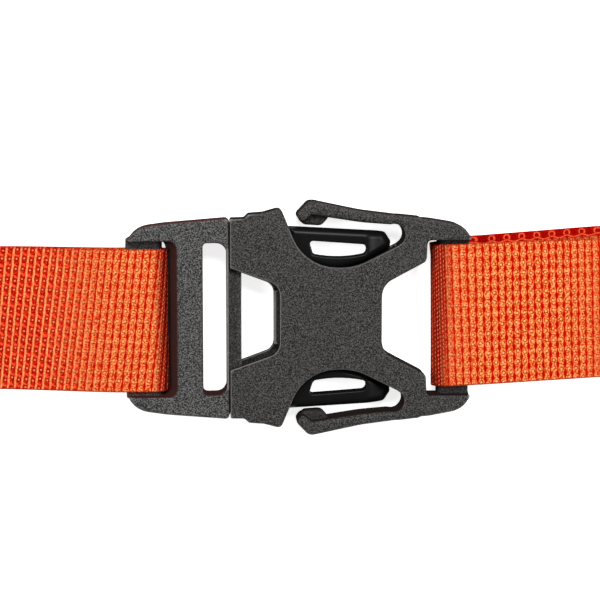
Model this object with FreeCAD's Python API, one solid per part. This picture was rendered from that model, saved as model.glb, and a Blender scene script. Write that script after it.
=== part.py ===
import FreeCAD, Part
import math
import os
from FreeCAD import Vector

# Luggage strap with a guarded side-release buckle. Millimetres, +Z up, lying on the plane z = 0.
# X runs along the strap, Y across it. The origin is on the flat underside of the buckle's socket,
# midway between the two webbing bars. "Left" is +Y and "right" is -Y, as seen looking along +X.

# ---- driving dimensions ----
webbing_width = 50.0
webbing_thickness = 1.8
running_gap = 0.2            # between webbing and the bar it goes round

buckle_half_length = 60.0    # from the origin to the outer edge of either webbing bar
buckle_thickness = 12.0
plate_thickness = 2.8        # top and bottom walls of the socket
joint_face_x = -24.0         # where plug and socket meet
joint_gap = 0.4

socket_bar_inner_x = 48.2
plug_bar_inner_x = -47.3
socket_slot_half_width = 26.5
plug_slot_half_width = 26.3

crossbar_left_x = -44.6
crossbar_right_x = -33.4
crossbar_bevel = 2.7
free_slot_right_x = -25.2
free_slot_half_width = 25.9
nose_bar_right_x = -20.2
nose_bar_half_width = 29.4

side_wall_inner_y = 30.0     # inner face of the socket's side walls, which the barbs catch behind
prong_pivot = (-20.2, 26.0)
prong_root_radius = 3.0
prong_clearance = 0.3        # above and below a prong

arm_pivot = (34.9, 33.9)
arm_root_radius = 2.15
hinge_clearance = 0.05
release_hole = (33.1, 29.1)
release_hole_radius = 3.8
pad_bottom_z = 3.1
pad_top_z = 8.9

run_start = 62.5             # where a strap leaves its bar
sewn_start = 107.0           # where the two layers of a strap meet
sewn_end = 141.0
roll_center_x = -207.0
roll_radius = 30.0
roll_eye_radius = 9.0

adjuster_bar_x = 152.0
adjuster_bar_radius = 1.8
adjuster_length = 40.0
adjuster_half_width = 31.5
adjuster_slot_half_width = 26.5
adjuster_thickness = 7.0

tie_width = 12.0
tie_thickness = 1.5
thread_width = 0.7
thread_height = 0.4

# ---- worked out from them ----
layer_top = webbing_thickness
fold_outer_radius = adjuster_bar_radius + running_gap + webbing_thickness
bar_bottom_z = webbing_thickness + running_gap
bar_radius = 2.9
bar_top_z = bar_bottom_z + 2 * bar_radius
loop_inner_radius = bar_radius + running_gap
loop_outer_radius = loop_inner_radius + webbing_thickness
loop_axis_z = loop_outer_radius
sewn_top = 2 * webbing_thickness
cavity_bottom = plate_thickness
cavity_top = buckle_thickness - plate_thickness
socket_mouth_x = joint_face_x + joint_gap / 2
plug_face_x = joint_face_x - joint_gap / 2


# ---- helpers ----
def corner(before, here, after, radius):
    """The two ends and the middle of the arc that rounds one corner of an outline."""
    to_before = (before - here).normalize()
    to_after = (after - here).normalize()
    half = to_before.getAngle(to_after) / 2
    start = here + to_before * (radius / math.tan(half))
    end = here + to_after * (radius / math.tan(half))
    middle_way = (to_before + to_after).normalize()
    middle = here + middle_way * (radius / math.sin(half) - radius)
    return start, middle, end


def outline(points, up=False):
    """A closed wire through (x, y, corner radius) points, or (x, z, radius) points if up."""
    corners = [Vector(a, 0, b) if up else Vector(a, b, 0) for a, b, _ in points]
    edges, ends = [], []
    for n, (_, _, radius) in enumerate(points):
        here = corners[n]
        after = corners[(n + 1) % len(corners)]
        if radius:
            start, middle, end = corner(corners[n - 1], here, after, radius)
            edges.append((start, Part.Arc(start, middle, end).toShape(), end))
        else:
            edges.append((here, None, here))
    for n, (_, arc, end) in enumerate(edges):
        if arc:
            ends.append(arc)
        start = edges[(n + 1) % len(edges)][0]
        if end.distanceToPoint(start) > 1e-6:
            ends.append(Part.LineSegment(end, start).toShape())
    return Part.Wire(Part.__sortEdges__(ends))


def plate(points, bottom, top):
    """An outline in plan, raised from bottom to top."""
    face = Part.Face(outline(points))
    face.translate(Vector(0, 0, bottom))
    return face.extrude(Vector(0, 0, top - bottom))


def section(points, half_width):
    """An outline in side view, as wide as it is told on both sides of the centre line."""
    face = Part.Face(outline(points, up=True))
    face.translate(Vector(0, -half_width, 0))
    return face.extrude(Vector(0, 2 * half_width, 0))


def both_sides(half):
    """The outline whose half above the centre line is given."""
    return half + [(x, -y, radius) for x, y, radius in reversed(half)]


def box(low, high):
    return Part.makeBox(*(b - a for a, b in zip(low, high)), Vector(*low))


def post(center, radius, bottom, top):
    return Part.makeCylinder(radius, top - bottom, Vector(center[0], center[1], bottom))


def mirrored(shape):
    return shape.mirror(Vector(0, 0, 0), Vector(0, 1, 0))


def flipped(shape):
    """The same shape at the other end of the strap."""
    return shape.mirror(Vector(0, 0, 0), Vector(1, 0, 0))


# ---- buckle socket ----
def webbing_bar(inner_x, outer_x, half_width):
    """A bar that webbing goes round: round on its inner edge, eased on its outer one."""
    return section(
        [
            (inner_x, bar_bottom_z, bar_radius * 0.999),
            (inner_x, bar_top_z, bar_radius * 0.999),
            (outer_x, bar_top_z, 1.5),
            (outer_x, bar_bottom_z, 1.5),
        ],
        half_width + 1.0,
    )


def make_socket():
    """The female half: two plates on side walls, open at the mouth, the waist and the webbing slot."""
    rim = both_sides(
        [
            (-6.6, 11.8, 5.0),
            (socket_mouth_x, 17.8, 1.2),
            (socket_mouth_x, 34.4, 0.6),
            (-18.9, 34.6, 0.8),
            (-17.4, 36.1, 0.8),
            (-12.4, 36.5, 3.0),
            (-7.0, 38.3, 1.8),
            (1.5, 17.9, 16.5),
            (19.5, 17.9, 20.0),
            (33.2, 24.75, 0),
            (arm_pivot[0], 25.6, 0),
            (arm_pivot[0], 35.75, 0),
            (46.0, 35.1, 20.0),
            (buckle_half_length, 33.0, 8.5),
        ]
    )
    body = plate(rim, 0, buckle_thickness)
    window = both_sides(
        [
            (28.7, 12.0, 4.0),
            (44.3, 20.5, 1.2),
            (44.7, socket_slot_half_width, 1.5),
            (buckle_half_length + 1, socket_slot_half_width, 0),
        ]
    )
    body = body.cut(plate(window, -1, buckle_thickness + 1))
    body = body.fuse(
        webbing_bar(socket_bar_inner_x, buckle_half_length, socket_slot_half_width)
    )
    mouth = box(
        (socket_mouth_x - 1, -side_wall_inner_y, cavity_bottom),
        (nose_bar_right_x + 0.6, side_wall_inner_y, cavity_top),
    )
    body = body.cut(mouth)
    channel = plate(
        [
            (nose_bar_right_x, 18.6, 0),
            (-8.5, 18.6, 0),
            (-4.5, 9.5, 2.0),
            (26.7, 9.5, 2.0),
            (26.7, 13.4, 0),
            (34.2, 17.5, 1.0),
            (34.2, 27.0, 0),
            (29.0, 35.0, 0),
            (-3.0, 35.0, 0),
            (-3.0, side_wall_inner_y, 0),
            (nose_bar_right_x, side_wall_inner_y, 0),
        ],
        cavity_bottom,
        cavity_top,
    )
    hole = post(release_hole, release_hole_radius, -1, buckle_thickness + 1)
    root = post(arm_pivot, arm_root_radius + hinge_clearance, -1, buckle_thickness + 1)
    for cut in (channel, hole, root):
        body = body.cut(cut).cut(mirrored(cut))
    return body.removeSplitter()


def make_guard_arm():
    """The springy finger that shields the left prong and presses it in."""
    arm = plate(
        [
            (38.0, 35.55, 0),
            (21.5, 37.3, 60.0),
            (4.6, 40.7, 1.5),
            (2.4, 40.6, 1.2),
            (-1.6, 35.6, 1.2),
            (1.3, 32.9, 1.2),
            (4.6, 35.4, 1.2),
            (21.5, 33.4, 60.0),
            (release_hole[0], 32.6, 0),
            (38.0, 32.3, 0),
        ],
        0,
        buckle_thickness,
    )
    arm = arm.cut(post(release_hole, release_hole_radius, -1, buckle_thickness + 1))
    free_part = box((-10, 0, -1), (arm_pivot[0], 60, buckle_thickness + 1))
    root = post(arm_pivot, arm_root_radius, -1, buckle_thickness + 1)
    arm = arm.common(free_part.fuse(root))
    pad = plate(
        [(-0.2, 34.4, 1.0), (2.0, 32.55, 1.5), (8.0, 32.2, 2.5), (11.0, 35.6, 0.8), (2.0, 37.5, 0)],
        pad_bottom_z,
        pad_top_z,
    )
    return arm.fuse(pad).removeSplitter()


# ---- buckle plug ----
def make_plug():
    """The male half's frame: webbing bar, crossbar, free slot and the nose bar that carries the prongs."""
    rim = both_sides(
        [
            (-buckle_half_length, 32.4, 8.0),
            (-46.7, 33.3, 20.0),
            (plug_face_x, 34.75, 1.0),
        ]
    )
    frame = plate(rim, 0, buckle_thickness)
    webbing_slot = box(
        (-buckle_half_length - 1, -plug_slot_half_width, -1),
        (crossbar_left_x + crossbar_bevel, plug_slot_half_width, buckle_thickness + 1),
    )
    frame = frame.cut(webbing_slot)
    free_slot = plate(
        both_sides(
            [
                (crossbar_right_x, free_slot_half_width, 1.4),
                (free_slot_right_x, free_slot_half_width, 3.5),
            ]
        ),
        -1,
        buckle_thickness + 1,
    )
    frame = frame.cut(free_slot)
    crossbar_lip = section(
        [
            (crossbar_left_x, 0, 0),
            (crossbar_left_x, 5.0, 0),
            (crossbar_left_x + crossbar_bevel, buckle_thickness, 0),
            (crossbar_left_x + crossbar_bevel + 1, buckle_thickness, 0),
            (crossbar_left_x + crossbar_bevel + 1, 0, 0),
        ],
        plug_slot_half_width + 0.5,
    )
    nose_bar = box(
        (free_slot_right_x, -nose_bar_half_width, cavity_bottom + prong_clearance),
        (nose_bar_right_x, nose_bar_half_width, cavity_top - prong_clearance),
    )
    bar = webbing_bar(plug_bar_inner_x, -buckle_half_length, plug_slot_half_width)
    frame = frame.fuse([crossbar_lip, nose_bar, bar])
    root = post(prong_pivot, prong_root_radius + hinge_clearance, 0, buckle_thickness)
    nose_only = box((plug_face_x, 0, 0), (0, 60, buckle_thickness))
    frame = frame.cut(root.common(nose_only))
    frame = frame.cut(mirrored(root.common(nose_only)))
    return frame.removeSplitter()


def make_prong():
    """The left spring prong: a neck, a barb that catches behind the socket's wall and a looped tip."""
    bottom = cavity_bottom + prong_clearance
    top = cavity_top - prong_clearance
    blade = plate(
        [
            (prong_pivot[0], 29.0, 0),
            (-6.0, 29.5, 5.0),
            (-3.2, 29.5, 0.5),
            (-4.1, 32.1, 0.5),
            (29.9, 30.2, 2.0),
            (32.2, 26.6, 1.5),
            (31.9, 23.9, 1.0),
            (23.0, 19.4, 9.0),
            (12.5, 16.6, 15.0),
            (1.5, 18.8, 8.0),
            (-5.0, 23.6, 6.0),
            (prong_pivot[0], 23.0, 0),
        ],
        bottom,
        top,
    )
    blade = blade.fuse(post(prong_pivot, prong_root_radius, bottom, top))
    eye = plate(
        [
            (4.1, 26.9, 1.0),
            (23.9, 25.5, 1.5),
            (22.4, 21.8, 1.5),
            (14.5, 19.9, 14.0),
            (5.4, 21.3, 2.0),
        ],
        0,
        buckle_thickness,
    )
    return blade.cut(eye).removeSplitter()


# ---- webbing ----
def make_loop(fold_x, end_x):
    """Webbing round a bar: fold_x is the fold's outer edge and end_x the loose end of both layers."""
    out = 1 if end_x > 0 else -1
    middle = fold_x + out * loop_outer_radius

    def u_shape(radius):
        low, high = loop_axis_z - radius, loop_axis_z + radius
        tip = Vector(middle - out * radius, 0, loop_axis_z)
        arc = Part.Arc(Vector(middle, 0, low), tip, Vector(middle, 0, high)).toShape()
        sides = [
            Part.LineSegment(Vector(end_x, 0, z), Vector(middle, 0, z)).toShape() for z in (low, high)
        ]
        cap = Part.LineSegment(Vector(end_x, 0, low), Vector(end_x, 0, high)).toShape()
        face = Part.Face(Part.Wire(Part.__sortEdges__([*sides, arc, cap])))
        face.translate(Vector(0, -webbing_width / 2, 0))
        return face.extrude(Vector(0, webbing_width, 0))

    return u_shape(loop_outer_radius).cut(u_shape(loop_inner_radius))


def doubled_run(far_end):
    """The two layers of a strap from its buckle bar to the sewn stretch, and one layer on to far_end."""
    top = 2 * loop_outer_radius
    layers = section(
        [
            (run_start, 0, 0),
            (run_start, top, 0),
            (sewn_start, sewn_top, 40.0),
            (sewn_end, sewn_top, 0),
            (sewn_end, layer_top, 0),
            (far_end, layer_top, 0),
            (far_end, 0, 0),
        ],
        webbing_width / 2,
    )
    between = section(
        [
            (run_start - 1, layer_top, 0),
            (run_start - 1, top - webbing_thickness, 0),
            (run_start, top - webbing_thickness, 0),
            (sewn_start - 1, layer_top, 0),
        ],
        webbing_width,
    )
    return layers.cut(between)


def make_short_run():
    """Both layers from the socket to the adjuster, and the loop round the adjuster's bar."""
    axis = Vector(adjuster_bar_x, -webbing_width / 2, fold_outer_radius)
    across = Vector(0, 1, 0)
    run = doubled_run(adjuster_bar_x)
    rise = section(
        [
            (sewn_end - 1, 0, 0),
            (sewn_end - 1, sewn_top, 0),
            (adjuster_bar_x - 1.2, 2 * fold_outer_radius - 0.2, 0),
            (adjuster_bar_x, 2 * fold_outer_radius - 0.2, 0),
            (adjuster_bar_x, 0, 0),
        ],
        webbing_width / 2,
    )
    run = run.fuse(rise)
    run = run.fuse(Part.makeCylinder(fold_outer_radius, webbing_width, axis, across))
    inside = adjuster_bar_radius + running_gap
    hollow = section(
        [
            (sewn_end + 2, layer_top, 0),
            (adjuster_bar_x, layer_top, 0),
            (adjuster_bar_x, fold_outer_radius + inside, 0),
            (adjuster_bar_x - 1, fold_outer_radius + inside, 0),
        ],
        webbing_width,
    )
    eye = Part.makeCylinder(inside, 2 * webbing_width, axis - across * webbing_width / 2, across)
    return run.cut(hollow).cut(eye).removeSplitter()


def make_long_run():
    """Both layers from the plug to the end of the sewn stretch, and one on to the roll."""
    lift = roll_radius - layer_top - 0.05
    tangent = math.sqrt(roll_radius**2 - lift**2)
    return flipped(doubled_run(-roll_center_x - tangent))


def make_roll():
    """The put-away length of the strap, wound round an open eye."""
    start = Vector(roll_center_x, -webbing_width / 2, roll_radius)
    across = Vector(0, 1, 0)
    turns = Part.makeCylinder(roll_radius, webbing_width, start, across)
    return turns.cut(Part.makeCylinder(roll_eye_radius, webbing_width, start, across))


def make_box_stitching():
    """A sewn rectangle with its two diagonals, lying on the doubled stretch of the short strap."""
    near, far = sewn_start + 4, sewn_end - 3
    half = webbing_width / 2 - 5
    bottom, top = sewn_top, sewn_top + thread_height

    def seam(start, end):
        length = math.dist(start, end) + thread_width
        line = box((-length / 2, -thread_width / 2, bottom), (length / 2, thread_width / 2, top))
        angle = math.degrees(math.atan2(end[1] - start[1], end[0] - start[0]))
        line.rotate(Vector(0, 0, 0), Vector(0, 0, 1), angle)
        line.translate(Vector((start[0] + end[0]) / 2, (start[1] + end[1]) / 2, 0))
        return line

    a, b, c, d = (near, -half), (far, -half), (far, half), (near, half)
    lines = [seam(a, b), seam(b, c), seam(c, d), seam(d, a), seam(a, c), seam(b, d)]
    return lines[0].fuse(lines[1:]).removeSplitter()


# ---- adjuster and tie ----
def make_ladder_lock():
    """The adjuster: side rails, a round bar for the sewn loop, a grip bar and a lifting lip."""
    near_x = adjuster_bar_x - 5
    far_x = near_x + adjuster_length
    axis_z = fold_outer_radius
    bottom = axis_z - adjuster_thickness / 2
    top = axis_z + adjuster_thickness / 2
    rim = both_sides([(near_x, adjuster_half_width, 3.0), (far_x, adjuster_half_width, 5.0)])
    body = plate(rim, bottom, top)
    body = body.cut(
        box(
            (near_x - 1, -adjuster_slot_half_width, bottom - 1),
            (far_x - 6, adjuster_slot_half_width, top + 1),
        )
    )
    reach = adjuster_slot_half_width + 1
    bar = Part.makeCylinder(
        adjuster_bar_radius, 2 * reach, Vector(adjuster_bar_x, -reach, axis_z), Vector(0, 1, 0)
    )
    grip_x = near_x + 20
    grip = section(
        [
            (grip_x, axis_z - 1.5, 1.0),
            (grip_x + 1, top, 0.6),
            (grip_x + 5, top, 1.0),
            (grip_x + 5, axis_z - 1.5, 1.0),
        ],
        reach,
    )
    return body.fuse([bar, grip]).removeSplitter()


def make_tie():
    """A hook-and-loop strip through the roll's eye and over its top, closed on itself."""
    side = webbing_width / 2 + running_gap
    low = roll_radius + roll_eye_radius - 4
    high = 2 * roll_radius + running_gap
    half = tie_width / 2
    outer = box(
        (roll_center_x - half, -side - tie_thickness, low),
        (roll_center_x + half, side + tie_thickness, high + tie_thickness),
    )
    inner = box(
        (roll_center_x - half - 1, -side, low + tie_thickness),
        (roll_center_x + half + 1, side, high),
    )
    return outer.cut(inner)


def make_tie_tab():
    """The tie's overlapping end, which peels off its top."""
    bottom = 2 * roll_radius + running_gap + tie_thickness
    half = tie_width / 2
    return plate(
        [
            (roll_center_x - half, -14.0, 0),
            (roll_center_x - half, 16.0, 3.0),
            (roll_center_x + half, 16.0, 3.0),
            (roll_center_x + half, -14.0, 0),
        ],
        bottom,
        bottom + tie_thickness,
    )


guard_arm = make_guard_arm()
prong = make_prong()
box_stitching = make_box_stitching()
parts = {
    "socket_body": make_socket(),
    "left_guard_arm": guard_arm,
    "right_guard_arm": mirrored(guard_arm),
    "plug_frame": make_plug(),
    "left_prong": prong,
    "right_prong": mirrored(prong),
    "short_strap_loop": make_loop(socket_bar_inner_x - running_gap - webbing_thickness, run_start - 0.2),
    "short_strap_run": make_short_run(),
    "short_strap_stitching": box_stitching,
    "long_strap_loop": make_loop(plug_bar_inner_x + running_gap + webbing_thickness, 0.2 - run_start),
    "long_strap_run": make_long_run(),
    "long_strap_stitching": flipped(box_stitching),
    "long_strap_roll": make_roll(),
    "ladder_lock": make_ladder_lock(),
    "roll_tie": make_tie(),
    "roll_tie_tab": make_tie_tab(),
}

os.makedirs("parts", exist_ok=True)
for name, shape in parts.items():
    if not shape.isValid() or len(shape.Solids) != 1:
        raise ValueError(f"{name} has {len(shape.Solids)} solids, valid {shape.isValid()}")
    shape.Solids[0].exportStep(f"parts/{name}.step")
    size = shape.BoundBox
    print(f"{name:24s} {size.XMin:8.2f} {size.XMax:8.2f} {size.YMin:7.2f} {size.YMax:7.2f} "
          f"{size.ZMin:6.2f} {size.ZMax:6.2f} {shape.Volume / 1000:8.2f} cm3")
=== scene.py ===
import math

import bpy
import numpy as np
from mathutils import Matrix, Vector


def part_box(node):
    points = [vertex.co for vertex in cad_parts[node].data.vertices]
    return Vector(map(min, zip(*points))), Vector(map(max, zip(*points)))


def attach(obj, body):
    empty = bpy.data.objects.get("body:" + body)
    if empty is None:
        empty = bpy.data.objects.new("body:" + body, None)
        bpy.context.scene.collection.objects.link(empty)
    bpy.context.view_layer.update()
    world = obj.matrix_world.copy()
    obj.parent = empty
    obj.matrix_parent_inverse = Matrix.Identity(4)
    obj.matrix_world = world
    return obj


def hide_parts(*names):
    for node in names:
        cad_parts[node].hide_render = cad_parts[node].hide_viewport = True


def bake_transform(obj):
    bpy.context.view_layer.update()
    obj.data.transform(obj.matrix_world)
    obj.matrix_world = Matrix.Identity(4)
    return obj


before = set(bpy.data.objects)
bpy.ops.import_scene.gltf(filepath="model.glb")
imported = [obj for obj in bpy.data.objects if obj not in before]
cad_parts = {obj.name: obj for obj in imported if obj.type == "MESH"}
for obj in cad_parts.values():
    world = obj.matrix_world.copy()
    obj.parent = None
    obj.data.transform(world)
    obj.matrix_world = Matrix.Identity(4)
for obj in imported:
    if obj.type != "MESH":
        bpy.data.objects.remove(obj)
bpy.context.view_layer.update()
MM = 0.001
STEP = 0.34      # grid of the moulded pieces, mm


# ---------------- sizes read from the frame, mm
def size(node):
    low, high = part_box(node)
    return [v / MM for v in low], [v / MM for v in high]


_, socket_high = size("socket_body")
near_loop_low, near_loop_high = size("short_strap_loop")
_, far_loop_high = size("long_strap_loop")
roll_low, roll_high = size("long_strap_roll")
lock_low, lock_high = size("ladder_lock")
seam_low, seam_high = size("short_strap_stitching")
prong_low, prong_high = size("left_prong")
tie_low, tie_high = size("roll_tie")
tab_low, tab_high = size("roll_tie_tab")

buckle_top = socket_high[2]
bar_end = socket_high[0]
width = near_loop_high[1] - near_loop_low[1]
half_width = width / 2                  # webbing
thickness = 1.8                         # webbing
loop_radius = (near_loop_high[2] - near_loop_low[2]) / 2
bar_reach = 28.0                        # half the length of the bars that the webbing turns round
plate = 2.8                             # the socket's top and bottom walls
joint_x = -24.0                         # where plug and socket meet


# ---------------- outlines
def rounded(points, steps=7):
    """A closed outline through (x, y, corner radius) points, each round corner as short chords."""
    out = []
    for n, (x, y, radius) in enumerate(points):
        here = np.array((x, y), float)
        if not radius:
            out.append(here)
            continue
        before = np.array(points[n - 1][:2]) - here
        after = np.array(points[(n + 1) % len(points)][:2]) - here
        before /= np.linalg.norm(before)
        after /= np.linalg.norm(after)
        half = math.acos(np.clip(before @ after, -1, 1)) / 2
        middle = before + after
        center = here + middle / np.linalg.norm(middle) * (radius / math.sin(half))
        start = here + before * (radius / math.tan(half)) - center
        end = here + after * (radius / math.tan(half)) - center
        turn = math.atan2(start[0] * end[1] - start[1] * end[0], start @ end)
        for k in range(steps + 1):
            c, s = math.cos(turn * k / steps), math.sin(turn * k / steps)
            out.append(center + (c * start[0] - s * start[1], s * start[0] + c * start[1]))
    return np.array(out)


def both_sides(half):
    """The outline whose half above the centre line is given."""
    return half + [(x, -y, radius) for x, y, radius in reversed(half)]


def distance(outline, x, y):
    """Signed distance to a closed outline, negative inside."""
    best = np.full(x.shape, 1e9)
    inside = np.zeros(x.shape, bool)
    for a, b in zip(outline, np.roll(outline, -1, axis=0)):
        d = b - a
        length = d @ d
        if length < 1e-12:
            continue
        t = np.clip(((x - a[0]) * d[0] + (y - a[1]) * d[1]) / length, 0, 1)
        best = np.minimum(best, (x - a[0] - t * d[0]) ** 2 + (y - a[1] - t * d[1]) ** 2)
        if d[1]:
            crosses = (a[1] > y) != (b[1] > y)
            inside ^= crosses & (x < a[0] + (y - a[1]) * d[0] / d[1])
    return np.where(inside, -1, 1) * np.sqrt(best)


# ---------------- moulded solids as distance fields
def meet(a, b, radius=0.0):
    """Where both are solid, with the edge between them rounded."""
    a, b = a + radius, b + radius
    return np.minimum(np.maximum(a, b), 0) + np.hypot(np.maximum(a, 0), np.maximum(b, 0)) - radius


def join(a, b, radius=0.0):
    """Where either is solid, with the corner between them filled."""
    return -meet(-a, -b, radius)


def cut(a, b, radius=0.0):
    """a without b, with the new edge rounded."""
    return meet(a, -b, radius)


def between(low, value, high):
    return np.maximum(low - value, value - high)


def smooth(t):
    """0 up to 0, 1 from 1 on, and a smooth rise between."""
    t = np.clip(t, 0, 1)
    return t * t * (3 - 2 * t)


class Block:
    """A box of space sampled on an even grid."""

    def __init__(self, low, high, step=STEP):
        self.step = step
        self.low = np.array(low, float) - 2.4 * step
        counts = np.ceil((np.array(high) + 2.4 * step - self.low) / step).astype(int) + 1
        self.axes = [self.low[a] + step * np.arange(counts[a]) for a in range(3)]
        self.x = self.axes[0][:, None, None]
        self.y = self.axes[1][None, :, None]
        self.z = self.axes[2][None, None, :]

    def plan(self, points):
        x, y = np.meshgrid(self.axes[0], self.axes[1], indexing="ij")
        return distance(rounded(points), x, y)[:, :, None]

    def pair(self, points):
        """An outline and its copy on the other side of the centre line."""
        return np.minimum(self.plan(points), self.plan([(x, -y, radius) for x, y, radius in points]))

    def side(self, points):
        x, z = np.meshgrid(self.axes[0], self.axes[2], indexing="ij")
        return distance(rounded(points), x, z)[:, None, :]

    def posts(self, center, radius):
        """An upright cylinder on each side of the centre line."""
        return np.hypot(self.x - center[0], np.abs(self.y) - center[1]) - radius

    def layer(self, low, high):
        return between(low, self.z, high)


def sample(field, points):
    """The field at points counted in grid steps."""
    points = np.clip(points, 0, np.array(field.shape) - 1.001)
    base = points.astype(int)
    t = points - base
    value = 0
    for i in (0, 1):
        for j in (0, 1):
            for k in (0, 1):
                weight = np.abs(1 - i - t[:, 0]) * np.abs(1 - j - t[:, 1]) * np.abs(1 - k - t[:, 2])
                value = value + weight * field[base[:, 0] + i, base[:, 1] + j, base[:, 2] + k]
    return value


def slopes(field, points):
    found = np.zeros((len(points), 3))
    for axis in range(3):
        step = np.zeros(3)
        step[axis] = 0.6
        found[:, axis] = sample(field, points + step) - sample(field, points - step)
    return found / np.maximum(np.linalg.norm(found, axis=1), 1e-9)[:, None]


def bending(field, points):
    """How sharply the surface bends at each point, above 0 on an outer edge, in grid steps."""
    total = -6 * sample(field, points)
    for axis in range(3):
        for way in (-1.0, 1.0):
            step = np.zeros(3)
            step[axis] = way
            total += sample(field, points + step)
    return total


def skin(block, field, whole=None):
    """Vertices, quads, normals and bending of the field's zero surface, one vertex in each cell it crosses.
    Where the surface is also that of whole, the normals are those of whole."""
    inside = field < 0
    corners = [(i, j, k) for i in (0, 1) for j in (0, 1) for k in (0, 1)]
    shape = np.array(field.shape) - 1
    count = np.zeros(shape, np.int8)
    for i, j, k in corners:
        count += inside[i:i + shape[0], j:j + shape[1], k:k + shape[2]]
    active = (count > 0) & (count < 8)
    cells = np.argwhere(active)
    index = np.full(shape, -1, np.int64)
    index[active] = np.arange(len(cells))
    total = np.zeros((len(cells), 3))
    hits = np.zeros(len(cells))
    for axis in range(3):
        for offset in corners:
            if offset[axis]:
                continue
            end = list(offset)
            end[axis] = 1
            a = field[tuple((cells + offset).T)]
            b = field[tuple((cells + end).T)]
            crossing = (a < 0) != (b < 0)
            point = (cells + offset).astype(float)
            point[:, axis] += np.where(crossing, a / np.where(crossing, a - b, 1), 0)
            total[crossing] += point[crossing]
            hits += crossing
    places = total / hits[:, None]
    quads = []
    for axis in range(3):
        first = [slice(1, -1)] * 3
        second = [slice(1, -1)] * 3
        first[axis] = slice(0, -1)
        second[axis] = slice(1, None)
        at = np.argwhere(inside[tuple(first)] != inside[tuple(second)]) + 1
        at[:, axis] -= 1
        u, v = (axis + 1) % 3, (axis + 2) % 3
        ring = []
        for du, dv in ((-1, -1), (0, -1), (0, 0), (-1, 0)):
            cell = at.copy()
            cell[:, u] += du
            cell[:, v] += dv
            ring.append(index[tuple(cell.T)])
        ring = np.stack(ring, 1)
        backward = ~inside[tuple(at.T)]
        ring[backward] = ring[backward][:, ::-1]
        quads.append(ring)
    normals = slopes(field, places)
    bend = bending(field, places) / block.step
    if whole is not None:
        shared = np.abs(sample(whole, places)) < 0.35 * block.step
        normals[shared] = slopes(whole, places[shared])
        bend[shared] = bending(whole, places[shared]) / block.step
    return block.low + places * block.step, np.concatenate(quads), normals, bend


def new_object(name, vertices, faces, material):
    """A smooth-shaded mesh object; vertices are in mm."""
    mesh = bpy.data.meshes.new(name)
    mesh.from_pydata((np.asarray(vertices) * MM).tolist(), [], faces)
    mesh.polygons.foreach_set("use_smooth", [True] * len(mesh.polygons))
    mesh.materials.append(material)
    obj = bpy.data.objects.new(name, mesh)
    bpy.context.scene.collection.objects.link(obj)
    return obj


def store(obj, name, values, kind="FLOAT"):
    """Give each vertex a value that the object's material reads."""
    data = obj.data.attributes.new(name, kind, "POINT").data
    data.foreach_set("vector" if kind == "FLOAT_VECTOR" else "value", values.astype(np.float32).ravel())


def moulded(name, block, field, material, node, body, whole=None):
    """A moulded piece from its distance field, in place of its CAD node. Its material is told where the
    surface is a sharp edge, to paint a highlight on, and a steep wall or far down in the buckle, to paint
    shade on."""
    sharp, sharpest = 0.50, 0.85            # bending, grid steps per mm
    steep_slope, flat_slope = 0.30, 0.75    # upward part of the normal
    shallow, deepest = 1.2, 3.2             # depth under the buckle's top, mm
    field = np.ascontiguousarray(np.broadcast_to(field, [len(axis) for axis in block.axes]))
    vertices, quads, normals, bend = skin(block, field, whole)
    obj = new_object(name, vertices, quads.tolist(), material)
    # sharp edges get a painted highlight in the material
    store(obj, "edge", smooth((bend - sharp) / (sharpest - sharp)))
    # steep walls get painted shade in the material
    shaded_wall = 1 - smooth((np.abs(normals[:, 2]) - steep_slope) / (flat_slope - steep_slope))
    store(obj, "shaded_wall", shaded_wall)
    # surfaces far under the buckle's top get painted shade too
    depth = smooth((buckle_top - shallow - vertices[:, 2]) / (deepest - shallow))
    store(obj, "deep_shade", np.maximum(shaded_wall, 0.6 * depth) if body != "ladder_lock" else shaded_wall)
    obj.data.normals_split_custom_set_from_vertices(normals.tolist())
    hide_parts(node)
    if body:
        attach(obj, body)
    return obj


# ---------------- materials
class Value:
    """What a material node gives. A sum or product of values is made by more nodes."""

    def __init__(self, socket):
        self.socket = socket
        self.tree = socket.id_data

    def math(self, operation, *others):
        node = self.tree.nodes.new("ShaderNodeMath")
        node.operation = operation
        for socket, value in zip(node.inputs, (self, *others)):
            put(socket, value)
        return Value(node.outputs[0])

    def split(self):
        """The three parts of a vector or colour."""
        node = self.tree.nodes.new("ShaderNodeSeparateXYZ")
        put(node.inputs[0], self)
        return [Value(socket) for socket in node.outputs]

    def __add__(self, other):
        return self.math("ADD", other)

    def __sub__(self, other):
        return self.math("SUBTRACT", other)

    def __rsub__(self, other):
        return self.math("MULTIPLY_ADD", -1.0, other)

    def __mul__(self, other):
        return self.math("MULTIPLY", other)

    def __truediv__(self, other):
        return self.math("DIVIDE", other)

    def __abs__(self):
        return self.math("ABSOLUTE")


def put(socket, value):
    """Link a value to a node's input, or set the input to a number or a colour."""
    if isinstance(value, Value):
        value.tree.links.new(value.socket, socket)
    elif value is not None:
        socket.default_value = (*value, 1) if socket.type == "RGBA" else value


def give(node, **values):
    """Put values into a node's inputs, whose names are written with _ for a space."""
    for name, value in values.items():
        put(node.inputs[name.replace("_", " ")], value)


def new_material(name):
    material = bpy.data.materials.new(name)
    material.use_nodes = True
    tree = material.node_tree
    tree.nodes.clear()
    out = tree.nodes.new("ShaderNodeOutputMaterial")
    shader = tree.nodes.new("ShaderNodeBsdfPrincipled")
    tree.links.new(shader.outputs[0], out.inputs["Surface"])
    return material, tree, shader


def stored(tree, name, output="Fac"):
    """What the mesh's points store under a name."""
    node = tree.nodes.new("ShaderNodeAttribute")
    node.attribute_name = name
    return Value(node.outputs[output])


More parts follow.
